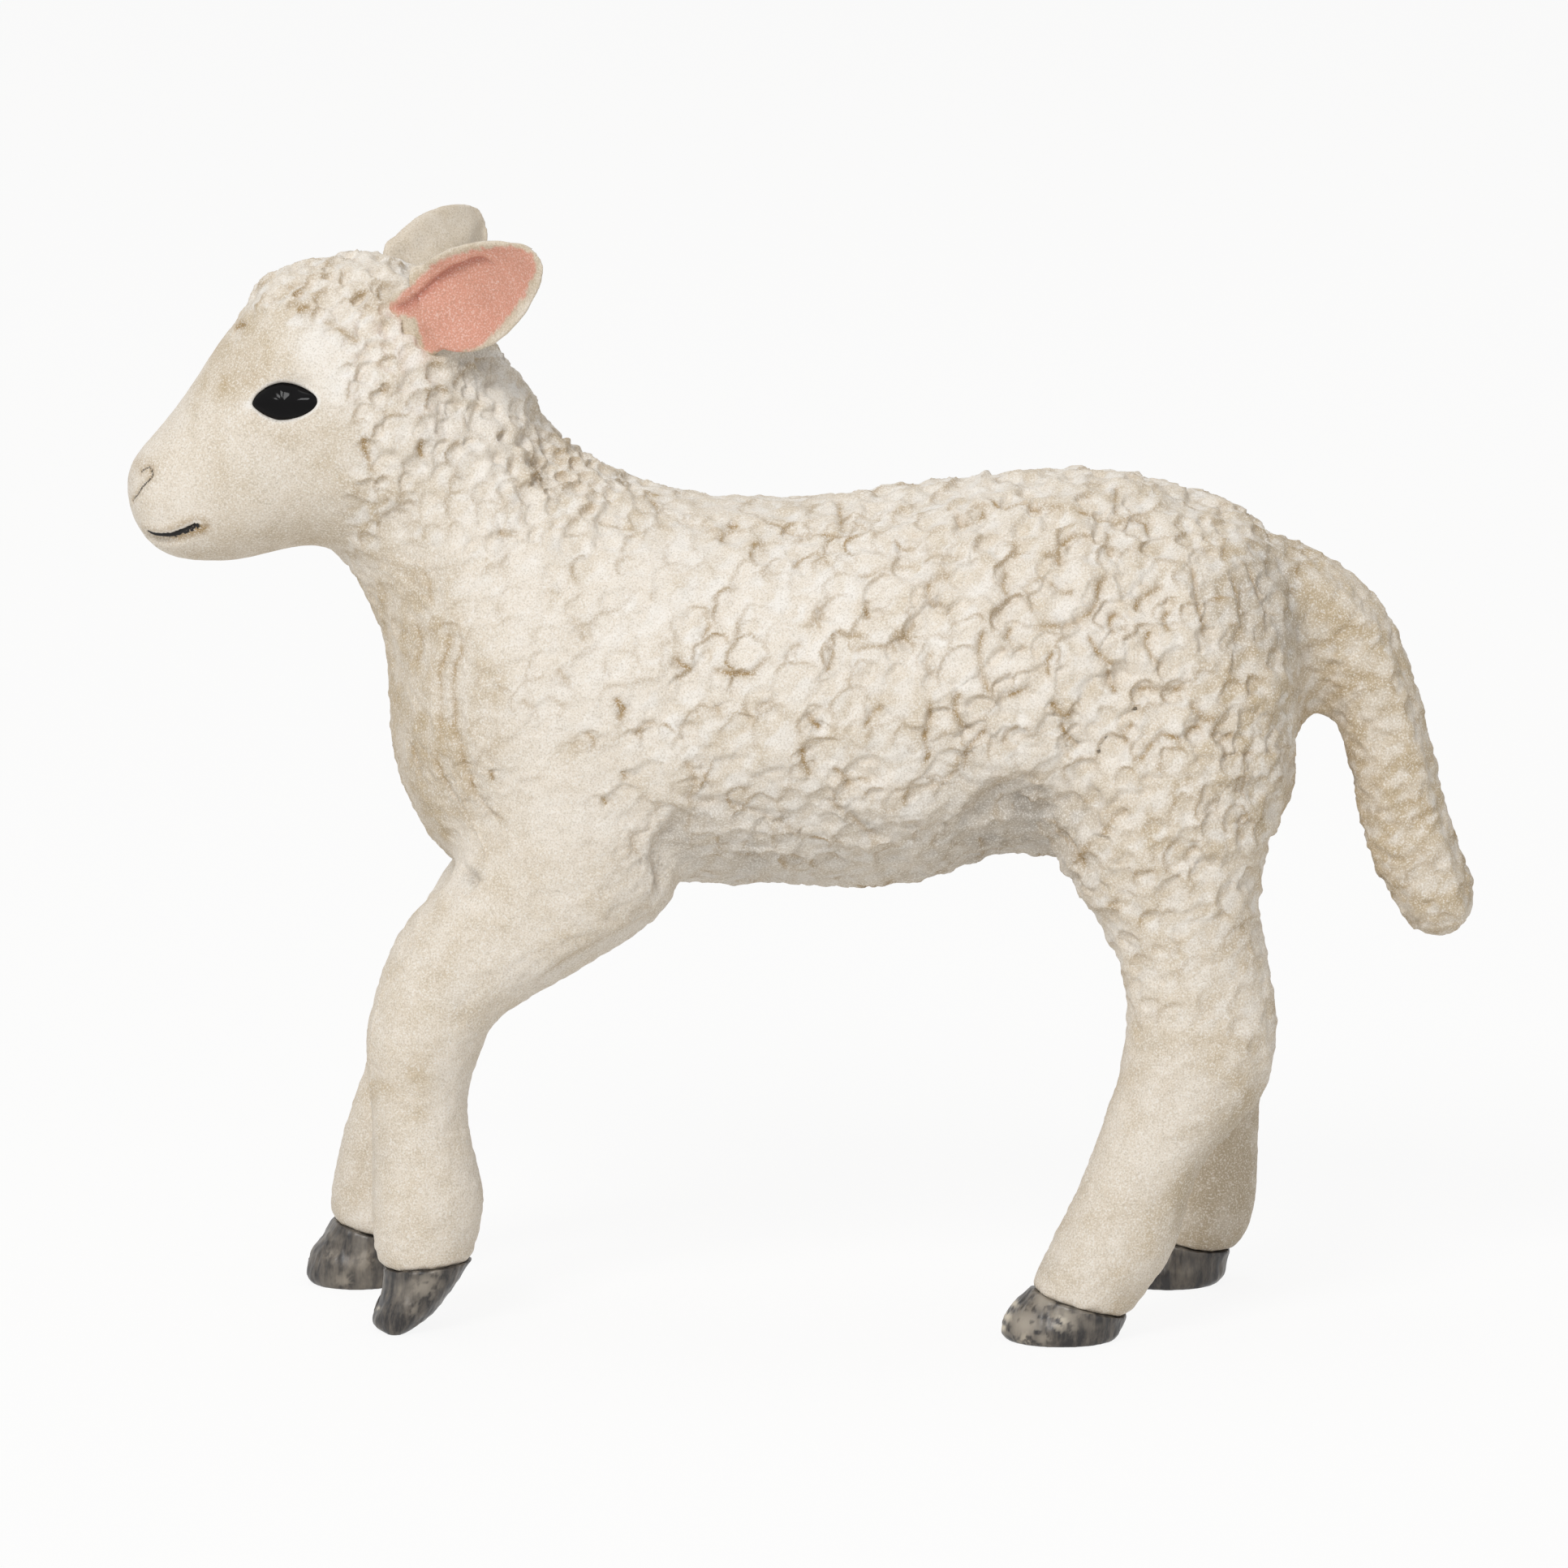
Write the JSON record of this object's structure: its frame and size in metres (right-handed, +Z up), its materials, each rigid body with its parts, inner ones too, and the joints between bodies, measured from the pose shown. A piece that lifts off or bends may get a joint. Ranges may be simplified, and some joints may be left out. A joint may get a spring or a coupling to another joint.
{
  "type": "sheep figurine",
  "caption": "Small standing lamb figurine in painted soft plastic: woolly body, smooth turned head, upright ears, hanging tail and cloven hooves, walking with one forefoot on its toe.",
  "frame": {"origin": "on the floor under the middle of the figurine's outline, seen from above", "axes": "-X is the way the lamb walks and looks, -Y is its left side, +Z is up"},
  "size_m": [0.0496, 0.0152, 0.0406],
  "materials": {
    "fleece": "matt cream paint with an ochre wash in the curls of the wool",
    "face": "matt cream paint, tan wash at the nostrils, mouth and eye rims",
    "ear": "matt cream paint outside, dusty pink inside",
    "leg": "matt cream paint, slightly worn",
    "tail": "matt cream paint with a warm grey wash",
    "hoof": "satin near-black paint, dry-brushed brown, worn pale at the edges",
    "eye": "glossy black lacquer"
  },
  "bodies": {
    "root": {"body": "fleece", "head": "face", "left_ear": "ear", "right_ear": "ear", "left_eye": "eye", "right_eye": "eye", "left_foreleg": "leg", "right_foreleg": "leg", "left_hind_leg": "leg", "right_hind_leg": "leg", "left_fore_hoof": "hoof", "right_fore_hoof": "hoof", "left_hind_hoof": "hoof", "right_hind_hoof": "hoof", "tail": "tail"}
  },
  "joints": []
}
